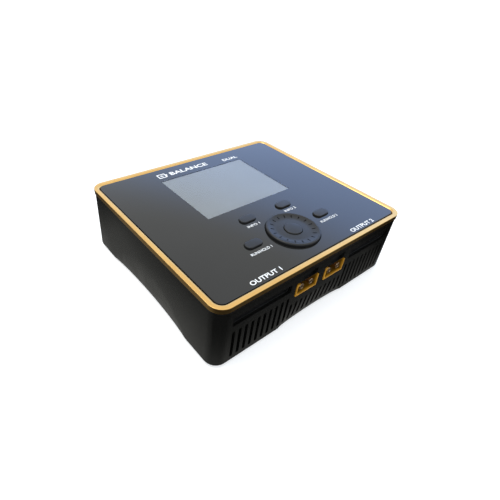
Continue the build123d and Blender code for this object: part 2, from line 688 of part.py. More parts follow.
with BuildPart() as link_header:   # joins the main board to the display board above it
    with BuildSketch(Plane.XY.offset(main_board_top)):
        with Locations((0, -2.0)):
            Rectangle(27.0, 5.4)
    extrude(amount=8.5)
    with BuildSketch(Plane.XY.offset(main_board_top + 8.5)):
        with Locations((0, -2.0)):
            with GridLocations(2.54, 2.54, 10, 2):
                Rectangle(0.64, 0.64)
    extrude(amount=display_board_base - main_board_top - 8.5)
finish(link_header, "link_header")

# ---- input connector and data port in the rear wall -------------------------------------------
with BuildPart() as input_pins:
    with BuildSketch(Plane.XZ.offset(-input_pin_face)):
        with Locations((0, input_z)):
            with GridLocations(input_pin_spacing, 1, 2, 1):
                Circle(input_pin_radius)
    extrude(amount=16.0)
    with BuildSketch(Plane.XZ.offset(-input_pin_face)):
        with Locations((0, input_z)):
            with GridLocations(input_pin_spacing, 1, 2, 1):
                Circle(1.4)
    extrude(amount=7.0, mode=Mode.SUBTRACT)
    with BuildSketch(Plane.XY.offset(main_board_top)):
        with Locations((0, 44.8)):
            with GridLocations(input_pin_spacing, 1, 2, 1):
                Rectangle(3.2, 1.4)
    extrude(amount=input_z - main_board_top)
finish(input_pins, "input_pins")

with BuildPart() as input_shell:
    with BuildSketch(Plane.XZ.offset(-input_face)):
        with Locations((0, input_z)):
            RectangleRounded(input_width, input_height, 0.5)
    extrude(amount=16.0)
    with BuildSketch(Plane.XZ.offset(-input_face)):
        with Locations((0, input_z)):
            Polygon(*keyed_outline(input_width - 2.8, input_height - 2.8, 2.0), align=None)
    extrude(amount=11.5, mode=Mode.SUBTRACT)
    with BuildSketch(Plane.XZ.offset(-input_face)):
        with Locations((0, input_z)):
            with GridLocations(input_pin_spacing, 1, 2, 1):
                Circle(input_pin_radius)
    extrude(amount=16.2, mode=Mode.SUBTRACT)
finish(input_shell, "input_shell")

with BuildPart() as usb_shell:
    with BuildSketch(Plane.XZ.offset(-usb_face)):
        with Locations((usb_x, main_board_top + 1.5)):
            RectangleRounded(8.0, 3.0, 0.7)
            RectangleRounded(7.4, 2.4, 0.5, mode=Mode.SUBTRACT)
    extrude(amount=usb_depth)
    with BuildSketch(Plane.XZ.offset(usb_depth - usb_face)):
        with Locations((usb_x, main_board_top + 1.5)):
            RectangleRounded(8.0, 3.0, 0.7)
    extrude(amount=0.6)
finish(usb_shell, "usb_shell")

with BuildPart() as usb_tongue:
    with BuildSketch(Plane.XZ.offset(-60.4)):
        with Locations((usb_x, main_board_top + 1.5)):
            Rectangle(5.0, 0.7)
    extrude(amount=5.2)
finish(usb_tongue, "usb_tongue")

# ==== fans =====================================================================================
hub_radius, blade_radius, blade_count = 6.5, 13.4, 7
shaft_radius = 0.75
frame_plate = 1.4                 # spokes and bearing carrier at the fan's inner side
for number, side in ((1, -1), (2, 1)):
    fan_plane = Plane((side * fan_x, fan_front_y, fan_z), x_dir=(1, 0, 0), z_dir=(0, 1, 0))
    with BuildPart() as fan_frame:
        with BuildSketch(fan_plane):
            RectangleRounded(fan_size, fan_size, 2.5)
            Circle(fan_bore_radius, mode=Mode.SUBTRACT)
            with GridLocations(fan_hole_spacing, fan_hole_spacing, 2, 2):
                Circle(1.4, mode=Mode.SUBTRACT)
        extrude(amount=fan_thickness)
        with BuildSketch(fan_plane):
            Circle(hub_radius)
            Circle(shaft_radius + 0.05, mode=Mode.SUBTRACT)
            for spoke in range(3):
                with PolarLocations(10.4, 1, start_angle=120 * spoke + 30):
                    Rectangle(8.4, 1.6)
        extrude(amount=frame_plate)
        with BuildSketch(fan_plane.offset(frame_plate)):
            Circle(2.4)
            Circle(shaft_radius + 0.05, mode=Mode.SUBTRACT)
        extrude(amount=4.2)
    finish(fan_frame, f"fan_frame_{number}")
    with BuildPart() as fan_rotor:
        with BuildSketch(fan_plane.offset(2.2)):
            Circle(hub_radius)
        extrude(amount=7.0)
        fillet(fan_rotor.faces().sort_by(Axis.Y)[-1].edges(), 0.6)
        with BuildSketch(fan_plane.offset(2.2)):
            Circle(hub_radius - 1.0)
        extrude(amount=5.6, mode=Mode.SUBTRACT)
        with BuildSketch(fan_plane.offset(0.4)):
            Circle(shaft_radius)
        extrude(amount=8.0)
        with Locations(fan_plane.offset(5.6)):
            with PolarLocations((blade_radius + hub_radius - 0.4) / 2, blade_count):
                Box(blade_radius - hub_radius + 0.4, 0.9, 8.0, rotation=(38, 0, 0))
    finish(fan_rotor, f"fan_rotor_{number}")

# ==== fasteners and feet =======================================================================
def pan_screws(places, seat, head_radius, head_height, shank_radius, shank_length, recess=0.8):
    """Pan-head screws that point downwards: heads on the height called seat, shanks below it."""
    with BuildPart() as screws:
        with BuildSketch(Plane.XY.offset(seat)):
            with Locations(*places):
                Circle(head_radius)
        extrude(amount=head_height)
        fillet(screws.faces().group_by(Axis.Z)[-1].edges(), head_height * 0.4)
        with BuildSketch(Plane.XY.offset(seat + head_height)):
            with Locations(*places):
                Rectangle(head_radius * 1.1, head_radius * 0.28)
                Rectangle(head_radius * 0.28, head_radius * 1.1)
        extrude(amount=-recess, mode=Mode.SUBTRACT)
        with BuildSketch(Plane.XY.offset(seat)):
            with Locations(*places):
                Circle(shank_radius)
        extrude(amount=-shank_length)
    return screws


def four(spacing_x, *rows):
    """Places at plus and minus spacing_x on each row."""
    return [(side * spacing_x, row) for row in rows for side in (-1, 1)]


board_screws = pan_screws(four(standoff_x, standoff_front_y, standoff_rear_y), main_board_top,
                          2.3, 1.6, 1.2, 8.0)
finish(board_screws, "board_screws")

heatsink_screws = pan_screws(four(heatsink_x, -heatsink_screw_y, heatsink_screw_y), main_board_top,
                             2.3, 1.6, 1.2, 5.2)
finish(heatsink_screws, "heatsink_screws")

with BuildPart() as display_screws:    # hold the display board up against the frame
    with BuildSketch(Plane.XY.offset(display_board_base)):
        with Locations(*four(display_screw_x, *display_screw_y)):
            Circle(2.0)
    extrude(amount=-1.3)
    fillet(display_screws.faces().group_by(Axis.Z)[0].edges(), 0.5)
    with BuildSketch(Plane.XY.offset(display_board_base)):
        with Locations(*four(display_screw_x, *display_screw_y)):
            Circle(0.97)
    extrude(amount=board_thickness + 2.4)
finish(display_screws, "display_screws")

with BuildPart() as case_screws:       # long screws from under the case into the frame
    with BuildSketch(Plane.XY.offset(case_base + 0.5)):
        with Locations(*four(post_x, -post_y, post_y)):
            Circle(2.8)
    extrude(amount=2.1)
    with BuildSketch(Plane.XY.offset(case_base + 0.5)):
        with Locations(*four(post_x, -post_y, post_y)):
            RegularPolygon(1.15, 6)
    extrude(amount=1.4, mode=Mode.SUBTRACT)
    with BuildSketch(Plane.XY.offset(case_base + 2.6)):
        with Locations(*four(post_x, -post_y, post_y)):
            Circle(1.46)
    extrude(amount=33.4)
finish(case_screws, "case_screws")

fan_screw_places = [(side * fan_x + dx, fan_z + dz) for side in (-1, 1)
                    for dx in (-fan_hole_spacing / 2, fan_hole_spacing / 2)
                    for dz in (-fan_hole_spacing / 2, fan_hole_spacing / 2)]
fan_screw_seat = rear_y - fan_screw_recess
with BuildPart() as fan_screws:        # through the rear wall into the fan frames
    with BuildSketch(Plane.XZ.offset(-fan_screw_seat)):
        with Locations(*fan_screw_places):
            Circle(2.4)
    extrude(amount=-1.4)
    fillet(fan_screws.faces().group_by(Axis.Y)[-1].edges(), 0.5)
    with BuildSketch(Plane.XZ.offset(-fan_screw_seat - 1.4)):
        with Locations(*fan_screw_places):
            Rectangle(2.8, 0.7)
            Rectangle(0.7, 2.8)
    extrude(amount=0.8, mode=Mode.SUBTRACT)
    with BuildSketch(Plane.XZ.offset(-fan_screw_seat)):
        with Locations(*fan_screw_places):
            Circle(1.36)
    extrude(amount=9.0)
finish(fan_screws, "fan_screws")

with BuildPart() as rubber_feet:
    with BuildSketch():
        with GridLocations(foot_spacing_x, foot_spacing_y, 2, 2):
            Circle(foot_radius)
    extrude(amount=foot_height + foot_recess)
    fillet(rubber_feet.faces().group_by(Axis.Z)[0].edges(), 0.4)
finish(rubber_feet, "rubber_feet")
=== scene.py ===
# %% [markdown]
# # A two-channel balance charger
# The charger is a flat black box with a gloss panel on top, a gold ring round the panel, a display, a jog
# wheel and four buttons. Its case, controls, sockets, boards and fans come from a CAD model, which fixes
# every size. This lesson dresses that model: it lights it, gives each piece its finish, and swaps the
# pieces that need softer edges or finer shapes for better meshes that stand in exactly the same place.

# %% Load the frame
import json
import math
import bmesh
import bpy
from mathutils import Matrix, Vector


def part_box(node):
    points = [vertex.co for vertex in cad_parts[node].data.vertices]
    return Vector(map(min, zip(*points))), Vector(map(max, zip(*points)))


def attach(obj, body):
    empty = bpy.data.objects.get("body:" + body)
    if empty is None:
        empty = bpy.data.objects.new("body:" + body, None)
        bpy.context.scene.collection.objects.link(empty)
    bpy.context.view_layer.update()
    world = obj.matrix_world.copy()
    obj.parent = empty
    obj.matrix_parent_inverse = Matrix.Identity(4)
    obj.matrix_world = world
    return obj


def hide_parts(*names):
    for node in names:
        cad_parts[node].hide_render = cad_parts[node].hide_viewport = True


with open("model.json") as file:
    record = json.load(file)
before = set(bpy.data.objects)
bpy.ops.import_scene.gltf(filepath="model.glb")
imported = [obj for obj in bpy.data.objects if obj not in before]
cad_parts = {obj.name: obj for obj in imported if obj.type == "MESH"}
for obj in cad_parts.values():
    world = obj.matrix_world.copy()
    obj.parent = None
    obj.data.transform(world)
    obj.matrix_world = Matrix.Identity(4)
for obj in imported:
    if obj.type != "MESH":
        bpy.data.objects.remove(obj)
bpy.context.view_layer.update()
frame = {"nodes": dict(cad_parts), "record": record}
MM = 0.001

# %% [markdown]
# ## Which body a node belongs to
# Each CAD node rides on one body, such as the case or the wheel, and has one named finish. New pieces take
# both from the node that they stand for, so a table of the two is made first.

# %% Bodies and finishes by node
node_body = {node: body for body, nodes in frame["record"]["behaviour"]["bodies"].items() for node in nodes}
node_slot = {row["node"]: row["material_slot"] for row in frame["record"]["subparts"]}


def place(piece, body, slot, *stands_for):
    """The piece moves with the body and may stand for CAD nodes; the slot is not used."""
    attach(piece, body)
    if stands_for:
        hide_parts(*stands_for)
    return piece


print("bodies:", sorted(set(node_body.values())))

# %% [markdown]
# ## Camera
# The view looks down over the front left corner, close enough for strong perspective. A wide lens at a
# short distance gives the steep convergence of the sides. The frame is shifted a little, because the
# object doesn't sit on the lens's axis.

# %% Camera
camera = bpy.data.objects.new("camera", bpy.data.cameras.new("camera"))
bpy.context.scene.collection.objects.link(camera)
bpy.context.scene.camera = camera
camera.location = (-0.1429, -0.1388, 0.1599)
camera.rotation_euler = [math.radians(turn) for turn in (52.28, -4.15, -38.54)]
camera.data.sensor_width = 36.0
camera.data.lens = 27.55
camera.data.shift_x = 0.062
camera.data.shift_y = -0.0152
camera.data.clip_start = 0.01
print("camera: lens", camera.data.lens, "mm")

# %% [markdown]
# ## Small helpers for node trees
# Every finish, the floor, the room and the shapes below are node trees. A few helpers keep them short: one
# adds a node, one wires it, and the rest do sums, smooth steps and mixes of colour.

# %% Shader helpers


def add_node(tree, kind, **settings):
    """A new node with its settings."""
    made = tree.nodes.new(kind)
    for key, value in settings.items():
        setattr(made, key, value)
    return made


def wire(tree, kind, links, **settings):
    """A node whose inputs are linked to sockets, or set to plain values; returns its first output."""
    made = add_node(tree, kind, **settings)
    for label, value in links.items():
        if isinstance(value, bpy.types.NodeSocket):
            tree.links.new(value, made.inputs[label])
        else:
            made.inputs[label].default_value = value
    return made.outputs[0]


def maths(tree, operation, first, second=0.0):
    """One sum on two values, each a socket or a number."""
    return wire(tree, "ShaderNodeMath", {0: first, 1: second}, operation=operation)


def band(tree, value, low, high, start=0.0, end=1.0):
    """start below low, end above high, smooth between them."""
    return wire(tree, "ShaderNodeMapRange", {
        "Value": value, "From Min": low, "From Max": high, "To Min": start, "To Max": end},
        interpolation_type="SMOOTHSTEP")


def blend_colour(tree, factor, first, second):
    """first where factor is 0 and second where it is 1; each is a colour or a socket."""
    mix = add_node(tree, "ShaderNodeMix", data_type="RGBA")
    tree.links.new(factor, mix.inputs[0])
    for socket, colour in ((mix.inputs[6], first), (mix.inputs[7], second)):
        if isinstance(colour, tuple):
            socket.default_value = (*colour, 1)
        else:
            tree.links.new(colour, socket)
    return mix.outputs[2]


def split_xyz(tree, vector):
    """The three parts of a vector."""
    parts = add_node(tree, "ShaderNodeSeparateXYZ")
    tree.links.new(vector, parts.inputs[0])
    return parts.outputs


# %% [markdown]
# ## Floor
# The charger stands on a plain white sheet, which glows faintly, so that only a narrow soft shadow stays
# where the case meets it. To rays that come from a mirroring surface the sheet shows something it isn't: a
# glow that fades away from the case, faster in front than at the sides. This is a made-up effect that keeps
# the satin walls near black, where a real white sheet would show brightly in them.

# %% Floor
glow_reach = {"start": 10 * MM, "end": 30 * MM}      # in front of the case, and at its sides
glow_strength = {"start": 0.26, "end": 0.30}
floor_radius = 6.0
floor_mesh = bpy.data.meshes.new("floor")
bm = bmesh.new()
bmesh.ops.create_circle(bm, cap_ends=True, segments=64, radius=floor_radius)
bm.to_mesh(floor_mesh)
bm.free()
floor = bpy.data.objects.new("floor", floor_mesh)
bpy.context.scene.collection.objects.link(floor)

sheet = bpy.data.materials.new("white_sheet")
sheet.use_nodes = True
tree = sheet.node_tree
shader = tree.nodes["Principled BSDF"]
shader.inputs["Base Color"].default_value = (0.70, 0.70, 0.70, 1)
shader.inputs["Roughness"].default_value = 0.9
shader.inputs["Specular IOR Level"].default_value = 0.0
shader.inputs["Emission Color"].default_value = (1, 1, 1, 1)
shader.inputs["Emission Strength"].default_value = 0.5
case_low, case_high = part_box("lower_case")
spot = split_xyz(tree, add_node(tree, "ShaderNodeTexCoord").outputs["Object"])
out_x = maths(tree, "MAXIMUM", maths(tree, "SUBTRACT", maths(tree, "ABSOLUTE", spot["X"]), case_high.x))
out_y = maths(tree, "MAXIMUM", maths(tree, "SUBTRACT", maths(tree, "ABSOLUTE", spot["Y"]), case_high.y))
away = maths(tree, "SQRT", maths(
    tree, "ADD", maths(tree, "POWER", out_x, 2.0), maths(tree, "POWER", out_y, 2.0)))
in_front = (case_low.y, case_low.y + 8 * MM)
reach = band(tree, spot["Y"], *in_front, **glow_reach)
strength = band(tree, spot["Y"], *in_front, **glow_strength)
fade = maths(tree, "EXPONENT", maths(tree, "DIVIDE", maths(tree, "MULTIPLY", away, -1.0), reach))
glow = wire(tree, "ShaderNodeEmission", {
    "Color": (1.0, 1.0, 0.94, 1), "Strength": maths(tree, "MULTIPLY", strength, fade)})
mirrored = add_node(tree, "ShaderNodeLightPath").outputs["Is Glossy Ray"]
both = add_node(tree, "ShaderNodeMixShader")
tree.links.new(mirrored, both.inputs[0])
tree.links.new(shader.outputs[0], both.inputs[1])
tree.links.new(glow, both.inputs[2])
tree.links.new(both.outputs[0], tree.nodes["Material Output"].inputs[0])
floor_mesh.materials.append(sheet)
print("floor: radius", floor_radius, "m")

# %% [markdown]
# ## Studio light
# Most of what a gloss black panel shows is the room. Here the room is a soft dome: neutral overhead, cooler
# and brighter low down behind the object, like a wall lit by daylight, and dim at the horizon. Its tones
# and edges were chosen for the reflections wanted in this one view, so other views show it less evenly. A
# world shader that reads only the direction gives it without noise. What the camera sees directly is white.

# %% World
world = bpy.data.worlds.new("studio")
bpy.context.scene.world = world
world.use_nodes = True
sky = world.node_tree
sky.nodes.clear()


def sine(degrees):
    """The height of a direction that many degrees over the horizon."""
    return math.sin(math.radians(degrees))


def toward(tree, vector, x, y):
    """How far the direction points to the horizontal direction x, y."""
    made = add_node(tree, "ShaderNodeVectorMath", operation="DOT_PRODUCT")
    tree.links.new(vector, made.inputs[0])
    made.inputs[1].default_value = (x, y, 0)
    return made.outputs["Value"]


direction = add_node(sky, "ShaderNodeTexCoord").outputs["Generated"]
height = split_xyz(sky, direction)["Z"]
cool_side = band(sky, toward(sky, direction, sine(62), sine(28)), 0.56, 0.82)
wall_light = blend_colour(sky, cool_side, (1.34, 1.48, 1.66), (1.22, 1.66, 2.70))
# the light wall's upper edge rises from left to right
rise = maths(sky, "MULTIPLY", maths(sky, "SUBTRACT", toward(sky, direction, 0.77, -0.64), 0.10), 0.17)
level = maths(sky, "SUBTRACT", height, rise)
dome = blend_colour(sky, band(sky, level, sine(27), sine(38)), wall_light, (1.05, 1.07, 1.05))
room = blend_colour(sky, band(sky, height, sine(2), sine(18)), (0.10, 0.10, 0.10), dome)
light_path = add_node(sky, "ShaderNodeLightPath")
seen = blend_colour(sky, light_path.outputs["Is Camera Ray"], room, (1.0, 1.0, 1.0))
background = add_node(sky, "ShaderNodeBackground")
output = add_node(sky, "ShaderNodeOutputWorld")
sky.links.new(seen, background.inputs["Color"])
sky.links.new(background.outputs[0], output.inputs[0])
bpy.context.scene.view_settings.view_transform = "Standard"


def soft_box(name, where, size, power):
    """A square lamp that faces the object."""
    lamp = bpy.data.objects.new(name, bpy.data.lights.new(name, "AREA"))
    bpy.context.scene.collection.objects.link(lamp)
    lamp.data.size = size
    lamp.data.energy = power
    lamp.location = where
    lamp.rotation_euler = (-Vector(where)).to_track_quat("-Z", "Y").to_euler()
    return lamp


soft_box("overhead_box", (-0.25, 0.20, 0.80), 0.50, 3.0)
print("light: dome and 1 soft box")

# %% [markdown]
# ## How a finish is made
# Moulded plastic, paint and plated metal all have a little life in them: their tone wanders slowly, their
# shine is uneven, and their skin has a fine grain. One recipe gives all three from noise on the object's
# own coordinates: a slow noise mixes two tones and moves the roughness, and a fast one lifts the surface.

# %% Finish recipe


def make_finish(name, tones, shine, metal=0.0, patch=0.02, grain=0.0003, depth=0.0, **sockets):
    """A material: tones mixed and roughness moved over patches of size patch, with grain as a fine bump."""
    material = bpy.data.materials.new(name)
    material.use_nodes = True
    tree = material.node_tree
    shader = tree.nodes["Principled BSDF"]
    where = add_node(tree, "ShaderNodeTexCoord").outputs["Object"]
    slow = add_node(tree, "ShaderNodeTexNoise")
    slow.inputs["Scale"].default_value = 1 / patch
    slow.inputs["Detail"].default_value = 3.0
    tree.links.new(where, slow.inputs["Vector"])
    tone = blend_colour(tree, band(tree, slow.outputs["Fac"], 0.3, 0.7), tones[0], tones[1])
    tree.links.new(tone, shader.inputs["Base Color"])
    gloss = add_node(tree, "ShaderNodeMapRange")
    gloss.inputs["To Min"].default_value, gloss.inputs["To Max"].default_value = shine
    tree.links.new(slow.outputs["Fac"], gloss.inputs["Value"])
    tree.links.new(gloss.outputs["Result"], shader.inputs["Roughness"])
    shader.inputs["Metallic"].default_value = metal
    if depth:
        fast = add_node(tree, "ShaderNodeTexNoise")
        fast.inputs["Scale"].default_value = 1 / grain
        fast.inputs["Detail"].default_value = 2.0
        tree.links.new(where, fast.inputs["Vector"])
        bump = add_node(tree, "ShaderNodeBump")
        bump.inputs["Distance"].default_value = depth
        bump.inputs["Strength"].default_value = 1.0
        tree.links.new(fast.outputs["Fac"], bump.inputs["Height"])
        tree.links.new(bump.outputs["Normal"], shader.inputs["Normal"])
    for label, value in sockets.items():
        shader.inputs[label.replace("_", " ").title().replace("Ior", "IOR")].default_value = value
    return material


def paint_shade_by_depth(material, edge, deep, share):
    """Painted shade: lets the tone fall to a share of itself between two distances from the middle of the case.
    """
    tree = material.node_tree
    shader = tree.nodes["Principled BSDF"]
    tone = shader.inputs["Base Color"].links[0].from_socket
    where = add_node(tree, "ShaderNodeTexCoord").outputs["Object"]
    out_y = maths(tree, "ABSOLUTE", split_xyz(tree, where)["Y"])
    kept = band(tree, out_y, deep, edge, start=share)
    shade_node = add_node(tree, "ShaderNodeVectorMath", operation="SCALE")
    tree.links.new(tone, shade_node.inputs[0])
    tree.links.new(kept, shade_node.inputs["Scale"])
    tree.links.new(shade_node.outputs[0], shader.inputs["Base Color"])


finishes = {}

# %% [markdown]
# ## Black case plastic
# The case is moulded in black plastic with a satin skin: almost no colour of its own, so what shows is a
# soft sheen with the faint grain of an eroded mould.

# %% Case plastic
finishes["case_plastic"] = make_finish(
    "case_plastic", ((0.0030, 0.0030, 0.0027), (0.0040, 0.0040, 0.0036)), (0.20, 0.27),
    patch=0.03, grain=0.0004, depth=0.000002, specular_ior_level=0.38)

# %% [markdown]
# ## Gold ring paint
# The ring is metal with a satin gold finish. A part-metal shader keeps the yellow in the light areas, and
# a middling roughness spreads the highlights along its rounded edge.

# %% Gold
finishes["gold_ring"] = make_finish(
    "gold_ring", ((0.73, 0.44, 0.145), (0.78, 0.48, 0.165)), (0.28, 0.34), metal=1.0,
    patch=0.012, grain=0.0002, depth=0.000001)

# %% [markdown]
# ## Gloss panel
# The panel is a flat sheet of black plastic, polished like glass. It mirrors the room, so it needs a low
# roughness and almost no bump. A slow change of roughness stands for wiping marks.

# %% Panel
finishes["panel_gloss"] = make_finish(
    "panel_gloss", ((0.011, 0.011, 0.011), (0.013, 0.013, 0.013)), (0.05, 0.09), patch=0.05)

# %% [markdown]
# ## Control plastic
# The wheel and the buttons are softer to the eye than the panel: a fine satin plastic that blurs the room
# into an even grey.

# %% Control plastic
finishes["control_plastic"] = make_finish(
    "control_plastic", ((0.009, 0.009, 0.009), (0.012, 0.012, 0.012)), (0.30, 0.38),
    patch=0.006, grain=0.00015, depth=0.000001, ior=1.42)

# %% [markdown]
# ## Connector finishes
# The power sockets are moulded in amber nylon and hold gold-flashed tubes. The thin lip of each socket glows
# gold and its inside looks dark brown. Most of that is shadow, which the light here doesn't give strongly
# enough, so a painted shade makes the tone itself fall with the depth. The balance ports hold tinned pins.

# %% Connectors
finishes["connector_amber"] = make_finish(
    "connector_amber", ((0.36, 0.165, 0.008), (0.46, 0.215, 0.012)), (0.26, 0.34),
    patch=0.004, grain=0.0003, depth=0.000004, coat_weight=0.2)
# painted shade: the amber darkens with depth into each socket's mouth
paint_shade_by_depth(finishes["connector_amber"], 61.9 * MM, 60.4 * MM, 0.28)
finishes["gold_contact"] = make_finish(
    "gold_contact", ((0.80, 0.58, 0.36), (0.88, 0.66, 0.42)), (0.18, 0.30), metal=1.0, patch=0.002)
finishes["tinned_contact"] = make_finish(
    "tinned_contact", ((0.62, 0.61, 0.58), (0.72, 0.71, 0.68)), (0.28, 0.40), metal=1.0, patch=0.002)

# %% [markdown]
# ## Finishes of the inner parts
# Boards, heatsinks, coils and fans are seen only through slots, or when the case is opened, but each has
# the finish of its real material. They differ only in their values, so a table holds them.

# %% Inner finishes
inner_finishes = {
    "black_plastic": (((0.004, 0.004, 0.004), (0.007, 0.007, 0.007)), (0.45, 0.60), 0.0, 0.010, 0.000004),
    "fan_plastic": (((0.018, 0.018, 0.018), (0.026, 0.026, 0.026)), (0.40, 0.55), 0.0, 0.006, 0.000003),
    "plunger_plastic": (((0.15, 0.15, 0.15), (0.20, 0.20, 0.20)), (0.45, 0.55), 0.0, 0.002, 0.000002),
    "white_plastic": (((0.78, 0.78, 0.75), (0.86, 0.86, 0.83)), (0.40, 0.50), 0.0, 0.010, 0.000002),
    "circuit_board": (((0.015, 0.10, 0.04), (0.030, 0.17, 0.07)), (0.30, 0.45), 0.0, 0.004, 0.000006),
    "ribbon_film": (((0.55, 0.28, 0.06), (0.70, 0.38, 0.10)), (0.25, 0.35), 0.0, 0.005, 0.000001),
    "bezel_steel": (((0.50, 0.50, 0.51), (0.60, 0.60, 0.61)), (0.25, 0.38), 1.0, 0.006, 0.000001),
    "switch_metal": (((0.52, 0.52, 0.52), (0.62, 0.62, 0.62)), (0.30, 0.42), 1.0, 0.003, 0.000001),
    "heatsink_alloy": (((0.56, 0.57, 0.58), (0.68, 0.69, 0.70)), (0.35, 0.50), 1.0, 0.006, 0.000004),
    "ferrite": (((0.045, 0.045, 0.047), (0.075, 0.075, 0.078)), (0.55, 0.70), 0.0, 0.003, 0.000008),
    "copper": (((0.60, 0.26, 0.11), (0.74, 0.36, 0.17)), (0.25, 0.35), 1.0, 0.003, 0.000004),
    "capacitor_can": (((0.10, 0.11, 0.15), (0.14, 0.15, 0.20)), (0.30, 0.42), 0.0, 0.008, 0.000001),
    "fuse_body": (((0.66, 0.66, 0.60), (0.76, 0.76, 0.70)), (0.45, 0.60), 0.0, 0.003, 0.000003),
    "screw_steel": (((0.035, 0.035, 0.035), (0.060, 0.060, 0.060)), (0.32, 0.45), 1.0, 0.002, 0.000001),
    "foot_rubber": (((0.014, 0.014, 0.014), (0.022, 0.022, 0.022)), (0.70, 0.85), 0.0, 0.004, 0.000008),
    "white_print": (((0.80, 0.81, 0.80), (0.88, 0.89, 0.88)), (0.40, 0.50), 0.0, 0.002, 0.0),
}
for name, (tones, shine, metal, patch, depth) in inner_finishes.items():
    finishes[name] = make_finish(name, tones, shine, metal, patch, depth=depth)
print("finishes:", len(finishes))

# %% [markdown]
# ## Display finishes
# The display is off. Its front polariser is a plain grey film, which scatters light far more than the black
# panel round it, and a thin clear lens over it mirrors the room as the panel does. The lens is a clear
# shader mixed with a mirror by the angle of view, so light reaches the film behind it.

# %% Display
finishes["lcd_screen"] = make_finish(
    "lcd_screen", ((0.165, 0.178, 0.178), (0.180, 0.196, 0.200)), (0.50, 0.60), patch=0.04)
lens_finish = bpy.data.materials.new("screen_lens")
lens_finish.use_nodes = True
lens_tree = lens_finish.node_tree
lens_tree.nodes.clear()
lens_out = add_node(lens_tree, "ShaderNodeOutputMaterial")
clear = add_node(lens_tree, "ShaderNodeBsdfTransparent")
mirror = add_node(lens_tree, "ShaderNodeBsdfGlossy")
mirror.inputs["Roughness"].default_value = 0.06
by_angle = wire(lens_tree, "ShaderNodeFresnel", {"IOR": 1.5})
# only the outer side mirrors: from inside, the angle would turn the whole lens into a mirror
behind = add_node(lens_tree, "ShaderNodeNewGeometry").outputs["Backfacing"]
outer_side = maths(lens_tree, "SUBTRACT", 1.0, behind)
lens_mix = add_node(lens_tree, "ShaderNodeMixShader")
lens_tree.links.new(maths(lens_tree, "MULTIPLY", by_angle, outer_side), lens_mix.inputs[0])
lens_tree.links.new(clear.outputs[0], lens_mix.inputs[1])
lens_tree.links.new(mirror.outputs[0], lens_mix.inputs[2])
lens_tree.links.new(lens_mix.outputs[0], lens_out.inputs[0])
finishes["screen_lens"] = lens_finish
print("finishes with the display:", len(finishes))

# %% [markdown]
# ## Dress every CAD node
# Each node of the CAD model takes the material of its own finish. Nodes that get a better mesh below are
# hidden again when that mesh takes their place.

# %% Dress the nodes
for node_name, cad_object in frame["nodes"].items():
    cad_object.data.materials.clear()
    cad_object.data.materials.append(finishes[node_slot[node_name]])
    for polygon in cad_object.data.polygons:
        polygon.material_index = 0
print("dressed:", len(frame["nodes"]), "nodes")

# %% [markdown]
# ## Smooth copies with soft edges
# A CAD mesh is made of loose triangles, so its curves look faceted and its edges are razor sharp. A copy is
# merged into one surface, its flat areas are joined into whole faces, and a fine bevel rounds the sharp
# edges, as a mould does. The copy stands for the node and stays in its place.

# %% Smooth copy helpers


def shade(mesh, angle=30):
    """Smooth shading that keeps edges sharper than the angle."""
    mesh.shade_smooth()
    mesh.set_sharp_from_angle(angle=math.radians(angle))
    return mesh


def new_piece(name, mesh, finish):
    """An object for a mesh, with one material."""
    mesh.name = name
    mesh.materials.clear()
    mesh.materials.append(finishes[finish])
    piece = bpy.data.objects.new(name, mesh)
    bpy.context.scene.collection.objects.link(piece)
    return piece


def merged_mesh(node_name):
    """The node's surface as one clean mesh with whole flat faces."""
    bm = bmesh.new()
    bm.from_mesh(frame["nodes"][node_name].data)
    bmesh.ops.remove_doubles(bm, verts=bm.verts, dist=0.002 * MM)
    bmesh.ops.dissolve_degenerate(bm, edges=bm.edges, dist=0.002 * MM)
    bmesh.ops.dissolve_limit(bm, angle_limit=math.radians(0.3), verts=bm.verts, edges=bm.edges)
    bm.verts.index_update()
    points = [vert.co.copy() for vert in bm.verts]
    faces = [[vert.index for vert in face.verts] for face in bm.faces]
    bm.free()
    mesh = bpy.data.meshes.new(node_name + "_merged")
    mesh.from_pydata(points, [], faces)
    return mesh


def smooth_piece(name, node_name, edge=0.12, segments=2, angle=40):
    """A smooth copy of a node that stands for it; edge is the radius of its rounded edges in millimetres."""
    piece = new_piece(name, shade(merged_mesh(node_name), 25), node_slot[node_name])
    if edge:
        soften = piece.modifiers.new("edges", "BEVEL")
        soften.width = edge * MM
        soften.segments = segments
        soften.limit_method = "ANGLE"
        soften.angle_limit = math.radians(angle)
        soften.harden_normals = True
        soften.use_clamp_overlap = True
    place(piece, node_body[node_name], node_slot[node_name], node_name)
    print(name, "faces", len(piece.data.polygons))
    return piece


# %% [markdown]
# ## Case shells and panel
# The lower case, the tray under the panel and the panel itself keep their CAD shapes; only the lower case gets
# softened edges.

# %% Shells
smooth_piece("case_shell", "lower_case", edge=0.18)
smooth_piece("panel_sheet", "top_panel", edge=0.0)
smooth_piece("panel_tray", "top_frame", edge=0.0)

# %% [markdown]
# ## Wheel and buttons
# The wheel has a dished face with eighteen short slots, and its centre and the four buttons are raised pads.
# All of them ride on their own bodies, so that they turn and press.

# %% Wheel and buttons
smooth_piece("wheel_dial", "jog_wheel", edge=0.08, angle=50)
smooth_piece("wheel_centre", "centre_button", edge=0.0)
for key in ("status_button_1", "status_button_2", "start_button_1", "start_button_2"):
    smooth_piece(key + "_cap", key, edge=0.0)

# %% [markdown]
# ## Power sockets
# Each output socket is an amber block with a keyed mouth round two hollow pins, and the supply socket behind
# is a larger one of the same kind.

# %% Power sockets
for socket_name in ("output_shell_1", "output_shell_2", "input_shell"):
    smooth_piece(socket_name + "_moulding", socket_name, edge=0.15)
for pin_name in ("output_pins_1", "output_pins_2", "input_pins"):
    smooth_piece(pin_name + "_gilded", pin_name, edge=0.12, angle=50)

# %% [markdown]
# ## Balance ports, data port and fan frames
# Each balance port is a long shell with a deep mouth. It is moulded in dull black plastic, so the row of
# pins inside is what catches the light.

